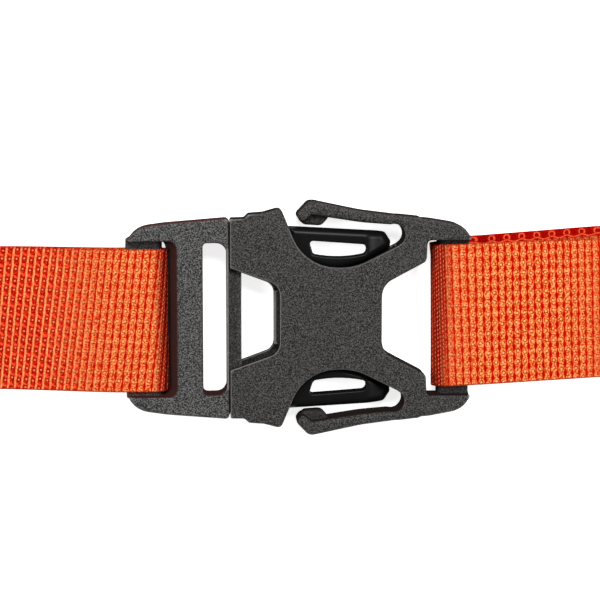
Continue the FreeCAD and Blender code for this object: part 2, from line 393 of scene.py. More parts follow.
def place(tree, turn=None):
    """The point's place in its object, in metres, turned by the given angles."""
    where = tree.nodes.new("ShaderNodeTexCoord").outputs["Object"]
    if not turn:
        return Value(where)
    mapping = tree.nodes.new("ShaderNodeMapping")
    mapping.inputs["Rotation"].default_value = turn
    tree.links.new(where, mapping.inputs["Vector"])
    return Value(mapping.outputs[0])


def noise(where, scale, detail=2.0, rough=0.5):
    node = where.tree.nodes.new("ShaderNodeTexNoise")
    give(node, Vector=where, Scale=scale, Detail=detail, Roughness=rough)
    return Value(node.outputs["Fac"])


def step_between(value, low, high):
    """0 below low, 1 above high and smooth between; falls instead if low is above high."""
    node = value.tree.nodes.new("ShaderNodeMapRange")
    node.interpolation_type = "SMOOTHSTEP"
    falls = low > high
    give(node, Value=value, From_Min=min(low, high), From_Max=max(low, high), To_Min=float(falls),
         To_Max=float(not falls))
    return Value(node.outputs["Result"])


def mix(factor, a, b):
    """Colour a where factor is 0 and b where it is 1."""
    node = factor.tree.nodes.new("ShaderNodeMix")
    node.data_type = "RGBA"
    give(node, Factor=factor, A=a, B=b)
    return Value(node.outputs["Result"])


def bump(height, depth, strength, normal=None):
    node = height.tree.nodes.new("ShaderNodeBump")
    give(node, Strength=strength, Distance=depth, Height=height, Normal=normal)
    return Value(node.outputs["Normal"])


def plastic(name, grain, base, roughness, shine, edge_highlight, shaded_wall):
    """Black moulded plastic with a spark-eroded grain, smooth on its walls; painted shade darkens its walls
    and recesses, and its sharp edges carry a painted highlight.
    """
    material, tree, shader = new_material(name)

    def times(factor):
        return tuple(v * factor for v in base)

    askew = place(tree, turn=(0.6, 0.9, 0.5))
    speck = noise(askew, 1900) * 0.5 + noise(askew, 3200, 1) * 0.5
    shade = step_between(speck, 0.42, 0.62)
    color = mix(shade, times(1 - 0.80 * grain), times(1 + 2.2 * grain))
    color = mix(noise(place(tree), 60) * 0.2, color, times(1.3))
    deep_shade = stored(tree, "deep_shade")
    # painted shade where the surface lies low in the buckle or on a wall
    color = mix(deep_shade * 0.9, color, times(0.40))
    # painted shade on steep walls, tinted by a painted reddish reflection of the webbing
    color = mix(stored(tree, "shaded_wall") * 0.9, color, shaded_wall)
    edge = stored(tree, "edge")
    rough = shade * (0.10 * grain) + (roughness - 0.05 * grain)
    open_face = 1.0 - deep_shade
    # edges get a paler colour: a painted highlight
    give(shader, Base_Color=mix(edge * 0.85, color, edge_highlight), Roughness=edge * (-0.12 * grain) + rough,
         Specular_IOR_Level=open_face * (edge * 0.55 + shine),
         Normal=bump(speck, 0.00030 * grain + 0.000008, open_face))
    return material


rib = 2.55                              # pitch of the webbing's ribs, along it, mm
link = 3.50                             # pitch of the links in a rib, across it, mm
strand_at, beads_at = 0.62, -0.66       # where the two lie in a rib, from its middle, mm


def weave_height(u, v):
    """Height of the weave, 0 in a valley and 1 on a strand: each rib is a strand beside a row of beads."""
    column = np.floor(u / rib)
    s = u - (column + 0.5) * rib
    wave = np.cos(2 * np.pi * (v / link + 0.05 * (column % 2)))
    hump = smooth((1.16 + 0.06 * wave - np.abs(s)) / 0.42)
    strand = np.sqrt(np.clip(1 - ((s - strand_at - 0.05 * wave) / 0.46) ** 2, 0, 1))
    beads = np.exp(-((s - beads_at) / 0.36) ** 2) * (0.5 + 0.5 * wave) ** 2
    return hump * (0.50 + np.maximum(0.50 * strand, 0.42 * beads))


class Weave:
    """Where a point lies in the weave, in mm: s is its distance from the middle of its rib, and along its
    distance down the rib from the middle of its link."""

    def __init__(self, tree):
        self.run, self.side, self.flat = stored(tree, "weave", "Vector").split()
        # tone: how far the ribs are painted as lit, the painted shade of a fold, and where selvage loops show
        self.pale, self.dim, self.looped = stored(tree, "tone", "Vector").split()
        where = place(tree)
        self.u = (noise(where, 260) - 0.5) * 0.35 + self.run
        self.v = (noise(where, 410, 1) - 0.5) * 0.6 + self.side
        ribs = self.u / rib
        column = ribs.math("FLOOR")
        self.s = (ribs.math("FRACT") - 0.5) * rib
        stagger = self.pale * -0.12 + 0.16
        self.row = self.v / link + abs(column).math("MODULO", 2.0) * stagger
        self.wave = (self.row * (2 * math.pi)).math("COSINE")
        self.along = self.from_link(self.row)
        curls = noise(where, 1700, 2, 0.6)
        self.flecks = step_between(curls, 0.43, 0.58)
        self.ragged = (curls - 0.5) * 0.7
        self.broken = step_between(noise(where, 1150, 1), 0.42, 0.54)
        cell = tree.nodes.new("ShaderNodeCombineXYZ")
        put(cell.inputs[0], column)
        put(cell.inputs[1], (self.row + 0.5).math("FLOOR"))
        chance = tree.nodes.new("ShaderNodeTexWhiteNoise")
        chance.noise_dimensions = "2D"
        tree.links.new(cell.outputs[0], chance.inputs["Vector"])
        loose_s, loose_along, _ = Value(chance.outputs["Color"]).split()
        self.loose_s = loose_s * 0.36 + -0.18
        self.loose_along = loose_along * 0.80 + -0.40
        strand = abs(self.s - (self.wave * 0.06 + strand_at))
        self.strand = step_between(self.ragged * 0.25 + strand, 0.46, 0.28)

    def from_link(self, row):
        """The distance from the middle of the nearest link, mm."""
        return ((row + 0.5).math("FRACT") - 0.5) * link

    def spot(self, s_at, along_at, radius, soft):
        """1 within a small round spot of each link, which lies a little to one side of its place."""
        a = self.s - s_at - self.loose_s
        b = self.along - along_at - self.loose_along
        r = (a * a + b * b).math("SQRT") + self.ragged * 0.5
        return step_between(r, radius + soft, radius - soft)

    def flecked(self, dark, light):
        return mix(self.flecks, dark, light)


def lit_rib_color(weave):
    """Ribs painted as lit on their flanks: the links show as wide bands of paler orange with broken rings."""
    valley, bead_shade = (0.47, 0.003, 0.0002), (0.38, 0.030, 0.0015)
    mark, highlight = (0.36, 0.03, 0.002), (1.0, 0.52, 0.22)
    color = weave.flecked((0.68, 0.036, 0.004), (1.0, 0.37, 0.11))
    ring = weave.spot(0.05, 0.1, 0.80, 0.14) - weave.spot(0.05, 0.1, 0.36, 0.14)
    # a partly broken ring of painted shade round each bead
    color = mix(ring * (weave.broken * 0.85 + 0.10), color, bead_shade)
    color = mix(weave.spot(0.10, 0.1, 0.36, 0.14) * 0.85, color, highlight)
    color = mix(weave.spot(0.40, -1.35, 0.26, 0.12) * 0.7, color, mark)
    color = mix(weave.spot(-0.45, 1.45, 0.26, 0.12) * 0.7, color, mark)
    band = weave.wave * 0.20 + 0.94 - (weave.ragged * 0.5 + abs(weave.s))
    return mix(step_between(band, -0.10, 0.12), valley, color)


def shaded_rib_color(weave):
    """Ribs painted in shade but for a lit crest: each is a paler strand beside a red band of beads with
    slanted rungs.
    """
    rung_red, dark_red = (0.97, 0.11, 0.04), (0.27, 0.0015, 0.0002)
    bead_shade, bead_highlight = (0.22, 0.02, 0.001), (1.0, 0.28, 0.14)
    slanted = abs(weave.from_link(weave.s * -0.16 + weave.row))
    rung = step_between(weave.ragged * 1.8 + slanted, link / 2 - 0.60, link / 2 - 0.16)
    color = weave.flecked((0.36, 0.0015, 0.0002), (0.64, 0.012, 0.0015))
    color = mix(rung * 0.62, color, rung_red)
    # painted shade round each bead
    color = mix(weave.spot(-0.60, 0.05, 0.80, 0.16) * 0.70, color, dark_red)
    # a spot of painted shade beside each bead
    color = mix(weave.spot(1.10, 0.0, 0.34, 0.14) * 0.7, color, bead_shade)
    # a painted highlight on each bead
    color = mix(weave.spot(beads_at, 0.0, 0.30, 0.14) * 0.9, color, bead_highlight)
    return mix(weave.strand, color, weave.flecked((0.94, 0.17, 0.05), (1.0, 0.40, 0.15)))


def selvage_color(weave):
    """The selvage of the lower layer: a row of thread loops, closed by a wavy line, all else darkened by
    painted shadow of the upper layer.
    """
    pair = (weave.run / (2 * rib)).math("FRACT")
    a = (pair - 0.5) * (2 * rib)
    b = weave.side - (half_width - 1.45)
    r = weave.ragged * 0.9 + (a * a + b * b).math("SQRT")
    loop = step_between(abs(r - 0.95), 0.34, 0.14) * step_between(b, -0.75, -0.45)
    waving = (a * (math.pi / rib)).math("COSINE") * -0.35 + b
    line = step_between(abs(weave.ragged * 0.6 + waving + 1.25), 0.34, 0.12)
    # painted shadow of the upper layer darkens what lies between the loops
    shadowed_ground = weave.flecked((0.26, 0.0015, 0.0006), (0.42, 0.004, 0.001))
    return mix(loop.math("MAXIMUM", line), shadowed_ground, (0.84, 0.085, 0.032))


def shaded_fold_color(weave):
    """The fold round a bar, darkened by painted shade: the ribs close up into dark lines with specks of light
    between them.
    """
    lines = (weave.run * (2 * math.pi / 0.85)).math("SINE")
    color = mix(step_between(lines, 0.2, 0.9), (0.15, 0.0012, 0.0003), (0.50, 0.014, 0.005))
    specks = (weave.v * (2 * math.pi / 1.5) + weave.u * 2.6).math("SINE")
    specks = step_between(specks, 0.1, 0.8) * step_between(lines, 0.3, 0.9)
    return mix(specks * 0.8, color, (1.0, 0.24, 0.13))


def webbing(name):
    """Orange webbing: the colour and the small relief follow the weave coordinates of each point, and the
    colour also carries painted light and shade.
    """
    material, tree, shader = new_material(name)
    weave = Weave(tree)
    # the ribs are painted as lit or as shaded, by the tone's first part
    color = mix(weave.pale, shaded_rib_color(weave), lit_rib_color(weave))
    edge = step_between(abs(weave.side), half_width - 0.9, half_width - 0.1)
    color = mix(edge * 0.75, color, (0.36, 0.004, 0.001))
    color = mix(weave.looped, color, selvage_color(weave))
    # painted shade over the folds round the bars
    color = mix(weave.dim * 0.9, color, shaded_fold_color(weave))
    twist = (weave.s * 8.0 + weave.v * 7.8).math("SINE") * 0.5 + 0.5
    hump = step_between(weave.wave * 0.10 + 1.12 - abs(weave.s), 0.0, 0.40)
    relief = hump * (weave.strand * 0.5 + 0.5)
    threads = bump(twist, 0.00006, 0.7)
    give(shader, Base_Color=color, Roughness=0.5, Specular_IOR_Level=0.0,
         Normal=bump(relief, 0.00060, weave.flat * 0.9, threads))
    return material


def strip(name, base, light, depth):
    """The hook-and-loop tie: a dense nap of short loops."""
    material, tree, shader = new_material(name)
    where = place(tree)
    loops = noise(where, 1500, 4, 0.7)
    color = mix(step_between(loops, 0.36, 0.66), base, light)
    give(shader, Base_Color=mix(noise(where, 240) * 0.4, color, base), Roughness=0.85, Sheen_Weight=0.12,
         Normal=bump(loops, depth, 0.9))
    return material


def thread(name, base):
    material, tree, shader = new_material(name)
    strands = noise(place(tree), 3200, 2, 0.6)
    give(shader, Base_Color=mix(strands, tuple(v * 0.7 for v in base), base), Roughness=0.5,
         Normal=bump(strands, 0.00005, 0.8))
    return material


# the last two colours of each plastic are the painted highlight of its edges and the painted shade of its
# walls
grained = plastic("grained plastic", grain=1.0, base=(0.0325, 0.0314, 0.0303), roughness=0.42, shine=0.10,
                  edge_highlight=(0.20, 0.197, 0.194), shaded_wall=(0.022, 0.0150, 0.0138))
coarser = plastic("coarser grained plastic", grain=1.1, base=(0.050, 0.049, 0.0485), roughness=0.42,
                  shine=0.10, edge_highlight=(0.16, 0.158, 0.156), shaded_wall=(0.056, 0.0200, 0.0170))
polished = plastic("polished plastic", grain=0.10, base=(0.0075, 0.0075, 0.0075), roughness=0.30, shine=0.30,
                   edge_highlight=(0.03, 0.03, 0.03), shaded_wall=(0.005, 0.005, 0.005))
orange = webbing("orange webbing")
orange_thread = thread("orange thread", (0.95, 0.24, 0.06))
nap = strip("black nap", base=(0.012, 0.012, 0.013), light=(0.05, 0.05, 0.054), depth=0.0002)


# ---------------- buckle socket and its guard arms
arm_x = 34.9                            # where the guard arms leave the socket
arm_root = (33.1, 29.1)                 # centre of the round cut that lets an arm bend
shoulder_x = -2.8                       # the fingers start to the right of the socket's shoulders
finger_inner = 30.6                     # the fingers' material starts this far from the centre line
prong_bottom, prong_top = prong_low[2], prong_high[2]


def strap_bar(block, inner, outer):
    """A bar that the webbing turns round, with a half round side at inner."""
    section = [(inner, 2.0, 2.899), (inner, 7.8, 2.899), (outer, 7.8, 1.5), (outer, 2.0, 1.5)]
    return meet(block.side(section), np.abs(block.y) - bar_reach)


block = Block((-24.2, -41.6, 0), (bar_end + 0.8, 41.6, buckle_top))
rim_half = [
    (-30.0, 17.8, 0), (-30.0, 34.7, 0), (-18.9, 34.9, 0.8), (-17.4, 36.4, 0.8), (-12.4, 36.8, 3.0),
    (-6.2, 38.6, 1.8), (2.2, 17.9, 16.5), (19.5, 17.9, 20.0), (33.2, 24.75, 0), (arm_x, 25.6, 0),
    (arm_x, 35.45, 0), (46.0, 34.6, 20.0), (bar_end + 0.6, 32.2, 8.5),
]
finger_outline = [
    (42.0, 35.0, 0), (21.5, 37.6, 60.0), (5.4, 41.0, 1.4), (3.4, 41.0, 2.8), (-1.1, 36.2, 1.5),
    (1.3, 33.2, 1.4), (4.6, 36.1, 1.4), (21.5, 33.5, 60.0), (arm_root[0], 32.6, 0), (42.0, 32.3, 0),
]
rim = join(block.plan(both_sides(rim_half)), block.pair(finger_outline), 1.2)
outside = cut(rim, block.posts(arm_root, 3.8))
# the outer edges are rounder than those round the prongs, and the tips rounder again
ease = 0.55 + 1.1 * smooth((np.abs(block.y) - 31.0) / 3.0) * smooth((block.x + 16.0) / 8.0)
ease = ease + 1.2 * smooth((block.x - 44.0) / 14.0) * smooth((np.abs(block.y) - 27.0) / 3.0)
whole = meet(outside, block.layer(0, buckle_top), ease)

window_half = [(29.0, 11.6, 6.5), (44.5, 19.9, 2.2), (44.8, 27.2, 1.5), (bar_end + 10, 27.2, 0)]
whole = cut(whole, block.plan(both_sides(window_half)), 0.7)
whole = join(whole, strap_bar(block, 48.7, bar_end), 0.8)
# the notch is a little smaller in the bottom wall than in the top one
upper_notch = block.plan(both_sides([(-6.6, 11.8, 5.0), (-23.8, 17.8, 0), (-60.0, 30.4, 0)]))
lower_notch = block.plan(both_sides([(-8.4, 11.2, 4.2), (-23.8, 16.9, 0), (-60.0, 30.2, 0)]))
notch = np.where(block.z > buckle_top / 2, upper_notch, lower_notch)
whole = cut(whole, notch, 0.45)
whole = meet(whole, joint_x + 0.2 - block.x, 0.45)
cavity_half = [
    (-9.4, 9.5, 0), (26.7, 9.5, 0), (26.7, 13.4, 0), (34.2, 17.5, 1.0), (34.2, 27.0, 0), (30.0, 33.0, 0),
    (-3.0, 33.0, 0), (-3.0, 30.0, 0), (-30.0, 30.0, 0),
]
cavity = meet(block.plan(both_sides(cavity_half)), block.layer(plate, buckle_top - plate))
core = block.plan([(-8.6, -9.5, 1.0), (-8.6, 9.5, 1.0), (26.7, 9.5, 1.0), (26.7, -9.5, 1.0)])
cavity = cut(cavity, core)
far_outside = 9.0
whole = cut(whole, np.where(block.x < arm_x - 1.0, cavity, far_outside), 0.3)
# the pads inside the fingers' ends are what press the prongs in
pads = block.pair([(-0.2, 34.4, 1.0), (2.0, 32.6, 1.6), (8.0, 32.2, 2.6), (11.0, 35.6, 0.8), (2.0, 37.5, 0)])
pads = meet(pads, block.layer(prong_bottom, prong_top), 1.4)
whole = join(whole, pads, 0.3)

# each finger is a piece of its own, and runs on past its root just under the socket's surface
past_root = block.x - arm_x
past_shoulder = shoulder_x - block.x
both_fingers = np.maximum(np.maximum(past_root, past_shoulder), finger_inner - np.abs(block.y))
socket_field = cut(whole, both_fingers)
moulded("socket_moulding", block, socket_field, grained, "socket_body", "socket", whole)
for name, side in (("left", 1), ("right", -1)):
    reach = np.maximum(np.maximum(past_root - 1.4, past_shoulder), finger_inner - side * block.y)
    tucked = np.where(past_root < 0.05, whole, whole + 0.06)
    finger = moulded(name + "_guard_finger", block, np.maximum(tucked, reach), grained,
                     name + "_guard_arm", None, whole)
    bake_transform(finger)


# ---------------- buckle plug
block = Block((-bar_end, -35.4, 0), (-19.6, 35.4, buckle_top))
rim = block.plan(both_sides([(-bar_end, 31.5, 8.8), (-46.7, 33.2, 20.0), (joint_x - 0.2, 35.0, 1.3)]))
ease = 0.8 + 1.1 * smooth((-block.x - 42.0) / 12.0)
whole = meet(rim, block.layer(0, buckle_top), ease)
sill = block.plan(both_sides([(-30.0, 33.9, 0), (joint_x + 0.12, 33.9, 0.4)]))
whole = join(whole, np.maximum(sill, block.layer(0.6, buckle_top - 3.0)))
# the crossbar's side slopes back under its top edge, and the slope runs round the pocket's corners
slope = 3.0 * np.clip((buckle_top - block.z) / 7.0, 0, 1) + 1.3 * np.clip((4.2 - block.z) / 3.0, 0, 1)
crossbar_x, half_pocket, radius = -41.9, 27.1, 3.0
dx = block.x - (crossbar_x - slope - radius)
dy = np.abs(block.y) - (half_pocket - radius)
pocket = np.hypot(np.maximum(dx, 0), np.maximum(dy, 0)) + np.minimum(np.maximum(dx, dy), 0) - radius
whole = cut(whole, pocket, 0.7)
slot = block.plan(both_sides([(-33.2, 26.5, 1.4), (-25.05, 26.5, 3.5)]))
whole = cut(whole, slot, 0.75)
whole = join(whole, strap_bar(block, -47.3, -bar_end), 0.8)
nose = block.plan(both_sides([(-25.0, 29.4, 0), (-19.8, 29.4, 0.6)]))
whole = join(whole, meet(nose, block.layer(prong_bottom, prong_top), 0.5))
moulded("plug_moulding", block, whole, coarser, "plug_frame", "plug")


# ---------------- spring prongs
prong_outline = [
    (-20.6, 29.0, 0.5), (-6.0, 29.5, 5.0), (-3.2, 29.5, 0.5), (-4.1, 32.1, 0.6), (30.5, 30.2, 2.2),
    (33.0, 26.8, 1.7), (32.7, 23.9, 1.4), (23.0, 19.4, 9.0), (12.5, 16.6, 15.0), (1.5, 18.8, 8.0),
    (-5.0, 23.6, 6.0), (-20.6, 23.0, 0.5),
]
eye_outline = [(3.7, 27.0, 1.0), (24.8, 25.5, 1.7), (23.3, 22.3, 1.7), (14.2, 20.2, 42.0), (5.2, 22.2, 2.0)]
for name, side in (("left", 1), ("right", -1)):
    low, high = sorted((side * 16.4, side * 32.6))
    block = Block((-21.2, low, prong_bottom), (33.2, high, prong_top), STEP * 0.8)
    blade = block.plan([(x, side * y, r) for x, y, r in prong_outline])
    eye = block.plan([(x, side * y, r) for x, y, r in eye_outline])
    # the top falls away towards the tip
    crown = prong_top - 3.2 * smooth((block.x - 23.2) / 10.0)
    body = meet(blade, np.maximum(block.z - crown, prong_bottom - block.z), 2.7)
    body = cut(body, eye, 0.6)
    prong = moulded(name + "_prong_moulding", block, body, polished, name + "_prong", None)
    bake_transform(prong)


# ---------------- webbing as ribbons
GAPS = 24                               # across a ribbon
PARTS = 6                               # of each gap, where the ribbon is fine
HEM = 0.9                               # how far in from its edges a ribbon gets thinner, mm
RELIEF = 0.62                           # depth of the weave, mm
ROWS = 7                                # of vertices along each rib, where the ribbon is fine


def arc_lengths(points):
    return np.concatenate([[0], np.cumsum(np.linalg.norm(np.diff(points, axis=0), axis=1))])


def along_path(points, stations):
    """Points and unit tangents at the given arc lengths of a dense path."""
    lengths = arc_lengths(points)

    def at(places):
        return np.stack([np.interp(places, lengths, points[:, k]) for k in (0, 1)], 1)

    tangents = at(stations + 0.4) - at(stations - 0.4)
    return at(stations), tangents / np.linalg.norm(tangents, axis=1)[:, None]


def widths(half, fine):
    """Places across a ribbon, closer together at its edges, with each gap divided where it is fine."""
    edge = np.array([half, half - 0.25, half - 0.8])
    inner = np.linspace(half - 2.6, 2.6 - half, GAPS - 5)
    places = np.concatenate([edge, inner, -edge[::-1]])[::-1]
    if not fine:
        return places
    return np.interp(np.arange(PARTS * GAPS + 1) / PARTS, np.arange(GAPS + 1), places)


def half_thickness(v, half, thick):
    """Half the thickness at places across a ribbon, and how far into its hem each place is."""
    drop = np.clip((np.abs(v) - (half - HEM)) / HEM, 0, 1)
    return thick / 2 * np.sqrt(1 - 0.8 * drop ** 2), drop


def strip_faces(start_a, start_b, gaps):
    """A face over each gap between two rows whose vertices are numbered from start_a and start_b."""
    return [[start_a + k, start_a + k + 1, start_b + k + 1, start_b + k] for k in range(gaps)]


def ribbon_faces(rows, closed):
    """Faces over rows of vertices. Each row has the number of its first vertex, how many vertices it has, and
    how many of those are on the outer face."""
    faces = []
    pairs = list(zip(range(len(rows) - 1), range(1, len(rows))))
    if closed:
        pairs.append((len(rows) - 1, 0))
    for a, b in pairs:
        (start_a, count_a, outer_a), (start_b, count_b, outer_b) = rows[a], rows[b]
        if outer_a == outer_b:
            faces += strip_faces(start_a, start_b, outer_a - 1)
        else:
            few, many = sorted(((outer_a, start_a), (outer_b, start_b)))
            for k in range(GAPS):
                fan = [few[1] + k + 1, few[1] + k] + [many[1] + PARTS * k + j for j in range(PARTS + 1)]
                faces.append(fan if outer_a < outer_b else fan[::-1])
        back_a, back_b = start_a + outer_a, start_b + outer_b
        faces.append([back_a - 1, back_a, back_b, back_b - 1])
        faces += strip_faces(back_a, back_b, GAPS)
        faces.append([start_a + count_a - 1, start_a, start_b, start_b + count_b - 1])
    if not closed:
        first, last = [list(range(row[0], row[0] + row[1])) for row in (rows[0], rows[-1])]
        faces += [first[::-1], last]
    return faces


def ribbon(name, points, stations, fine, half, thick, material, closed=False, sideways=None,
           skew=0.0, stretch=1.0, taper=None, tone=None):
    """A band of cloth along a path in the X-Z plane. Its outer face is on the right of the path.
    fine marks the stations whose outer face carries the weave as real relief."""
    here, tangents = along_path(points, stations)
    outward = np.stack([tangents[:, 1], -tangents[:, 0]], 1)
    vertices, weave, rows = [], [], []
    count = 0
    for n, u in enumerate(stations):
        v = widths(half, fine[n])
        back = widths(half, False)[::-1]
        narrow = taper(here[n, 0]) if taper else 1.0
        height, drop = half_thickness(v, half, thick)
        if fine[n]:
            raised = weave_height(u * stretch + skew * v, v)
            height = height - RELIEF * (1 - raised) * fine[n] * (1 - 0.6 * drop)
        places = np.concatenate([v, back]) * narrow
        heights = np.concatenate([height, -half_thickness(back, half, thick)[0]])
        x, z = here[n]
        shift, turn = 0.0, 0.0
        if sideways:
            shift = sideways(x, z, places)
            turn = sideways(x + 0.5, z, 0.0) - sideways(x - 0.5, z, 0.0)
        x = x + outward[n, 0] * heights - turn * places * abs(tangents[n, 0])
        z = z + outward[n, 1] * heights
        rows.append((count, len(places), len(v)))
        count += len(places)
        vertices.append(np.stack([x, places + shift, z], 1))
        flat = np.concatenate([np.full(len(v), 1.0 - fine[n]), np.ones(len(back))])
        weave.append(np.stack([u * stretch + skew * places, places, flat], 1))
    vertices = np.concatenate(vertices)
    weave = np.concatenate(weave)
    obj = new_object(name, vertices, ribbon_faces(rows, closed), material)
    store(obj, "weave", weave, "FLOAT_VECTOR")
    if tone:
        store(obj, "tone", tone(vertices, weave), "FLOAT_VECTOR")
    face_outwards(obj.data)
    return obj


def face_outwards(mesh):
    """Turn the faces over if they enclose a negative volume."""
    mesh.calc_loop_triangles()
    volume = 0.0
    for triangle in mesh.loop_triangles:
        a, b, c = (mesh.vertices[i].co for i in triangle.vertices)
        volume += a.cross(b).dot(c)
    if volume < 0:
        mesh.flip_normals()


def spaced(length, zones, coarse):
    """Stations along a path and how much relief each has: zones are (start, end) of the fine stretches, and
    coarse gives the gap between stations elsewhere."""
    places, relief = [0.0], [0.0]
    while places[-1] < length - 1e-6:
        here = places[-1]
        inside = any(a <= here < b for a, b in zones)
        ahead = [a for a, b in zones if a > here]
        gap = rib / ROWS if inside else coarse(here)
        limit = min([length] + ahead)
        gap = min(gap, limit - here) if limit - here > 1e-6 else gap
        places.append(min(here + gap, length))
        relief.append(1.0 if any(a <= places[-1] <= b for a, b in zones) else 0.0)
    return np.array(places), np.array(relief)


# heights are those of the middle of a layer
mid = thickness / 2
turn_radius = loop_radius - mid
lap = 2 * thickness - mid               # the upper layer, where the two are sewn together
upper = 2 * loop_radius - mid           # the upper layer, over the bars
sewn_start, sewn_end = 107.0, seam_high[0] + 2.5
relief_end = 111.0                      # the weave is real relief up to this far from the buckle's middle
almost = 0.999                          # of a half turn's radius, so that its two corners stay apart


def drift(x, z, v):
    """How far the short strap lies to one side: it leaves its bar askew, its lower layer more than its
    upper one, and comes back into line beyond its stitching."""
    back_in_line = 1 - float(smooth((x - sewn_start) / 42.0))
    leaving, past = np.clip(x - 47.0, 0, 13.0), max(x - 60.0, 0.0)
    upper_layer = 0.30 + 0.045 * leaving + 0.033 * past
    if z < lap - 0.9:
        spread = 0.09 * leaving + 0.6 * smooth(past / 6.0) + 0.042 * past
        return (upper_layer + spread) * back_in_line
    return (upper_layer - 0.012 * past * np.maximum(v, 0) / half_width) * back_in_line


def settle(x, z, v):
    """The long strap sits against the lower side of its pocket."""
    return -0.65 * float(smooth((x + 104.0) / 44.0)) * (1.0 + 0 * v)


def short_tone(vertices, weave):
    """How far the ribs are painted as lit, the painted shade of the fold and where the selvage's loops show,
    at each vertex.
    """
    x, z = vertices[:, 0], vertices[:, 2]
    # how far the ribs are painted as lit, changing along the strap
    pale = 0.60 + 0.40 * smooth((x - 52.0) / 16.0) - 0.35 * smooth((x - 92.0) / 16.0)
    # painted shade over the fold round the bar
    dim = 1 - smooth((x - 49.6) / 5.0)
    looped = smooth((weave[:, 1] - (half_width - 4.6)) / 0.6)
    looped = looped * smooth((x - 56.0) / 3.0) * (1 - smooth((x - 112.0) / 25.0))
    return np.stack([pale, dim, looped * (z < lap - 0.5)], 1)


def long_tone(vertices, weave):
    """The same for the long strap, which shows no selvage loops."""
    x = vertices[:, 0]
    # how far the ribs are painted as lit, changing along the strap
    pale = 0.85 - 0.80 * smooth((-58.0 - x) / 34.0) + 0.4 * smooth((-108.0 - x) / 30.0)
    # painted shade over the fold round the bar
    dim = smooth((x + 51.2) / 4.4)
    return np.stack([pale, dim, 0 * x], 1)


# the short strap is one loop, from the buckle along the floor, round the adjuster and back over itself
lock_x, lock_z = 152.0, (lock_low[2] + lock_high[2]) / 2    # the adjuster's round bar
lock_turn = 2.9                         # radius of the strap's turn round it
near_turn = near_loop_low[0] + mid + 0.6
ring = [
    (near_turn, mid, turn_radius * almost),
    (lock_x + lock_turn, lock_z - lock_turn, lock_turn * almost),
    (lock_x + lock_turn, lock_z + lock_turn, lock_turn * almost),
    (lock_x - 1.0, lock_z + lock_turn, 2.0),
    (sewn_end + 1.5, lap, 6.0),
    (sewn_start, lap, 70.0),
    (62.5, upper - 0.1, 60.0),
    (near_turn, upper, turn_radius * almost),
]
dense = rounded(ring, 14)
# it starts in the lower layer, away from both bars
first = np.argmin(np.abs(dense[:, 0] - 100.0) + 50 * (dense[:, 1] > 2.0))
dense = np.roll(dense, -first, axis=0)
dense = np.concatenate([dense, dense[:1]])
lengths = arc_lengths(dense)
past_lock = int(np.argmax(dense[:, 0]))
on_top = past_lock + int(np.argmax(dense[past_lock:, 0] < relief_end))
leftmost = int(np.argmin(dense[:, 0]))
below = leftmost + int(np.argmax(dense[leftmost:, 1] < loop_radius - 2.0))
stations, fine = spaced(lengths[-1], [(lengths[on_top], lengths[below])], lambda u: 2.2)
short_strap = ribbon("short_strap_webbing", dense, stations[:-1], fine[:-1], half_width, thickness, orange,
                     closed=True, sideways=drift, stretch=0.955, tone=short_tone)
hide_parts("short_strap_loop", "short_strap_run")
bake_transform(short_strap)

# the long strap is wound up from its free end, runs to the plug's bar, and comes back over itself
roll_x = (roll_low[0] + roll_high[0]) / 2
roll_radius = (roll_high[2] - roll_low[2]) / 2
pitch = 1.9                             # from one turn of the roll to the next
roll_eye = 9.0                          # radius of the opening in its middle
far_turn = far_loop_high[0] - mid
turns = (roll_radius - roll_eye - thickness) / pitch
angle = np.linspace(-2 * np.pi * turns, 0, 900)
reach = roll_radius - mid + pitch * angle / (2 * np.pi)
spiral = np.stack([roll_x + reach * np.sin(angle), roll_radius - reach * np.cos(angle)], 1)
spiral[:, 1] *= 1 + 0.016 * spiral[:, 1] / (2 * roll_radius)    # a little taller than it is round
straight = [
    (roll_x + 1.0, mid, 0),
    (far_turn, mid, turn_radius * almost),
    (far_turn, upper, turn_radius * almost),
    (-62.5, upper - 0.1, 60.0),
    (-sewn_start, lap, 70.0),
    (-sewn_end, lap, 0),
]
rest = rounded(straight, 14)
dense = np.concatenate([spiral, rest])
lengths = arc_lengths(dense)
fold = len(spiral) + int(np.argmax(rest[:, 1] > 3.0))
zone = (lengths[fold], lengths[-1] - (sewn_end - relief_end))
stations, fine = spaced(lengths[-1], [zone], lambda u: 1.8 if u < 220 else 2.4)
long_strap = ribbon("long_strap_webbing", dense, stations, fine, half_width, thickness, orange,
                    sideways=settle, skew=0.11, tone=long_tone)
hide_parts("long_strap_loop", "long_strap_run", "long_strap_roll")
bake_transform(long_strap)


# ---------------- stitching
STITCH = 2.7                            # from one stitch to the next, mm
STITCH_HALF = 1.15                      # half the length of a stitch
THREAD_WIDE, THREAD_HIGH = 0.34, 0.26   # half the thread's width and height
BULGE = 0.20                            # how much higher a stitch is in its middle
SIDES, RINGS = 8, 9                     # of a stitch's mesh


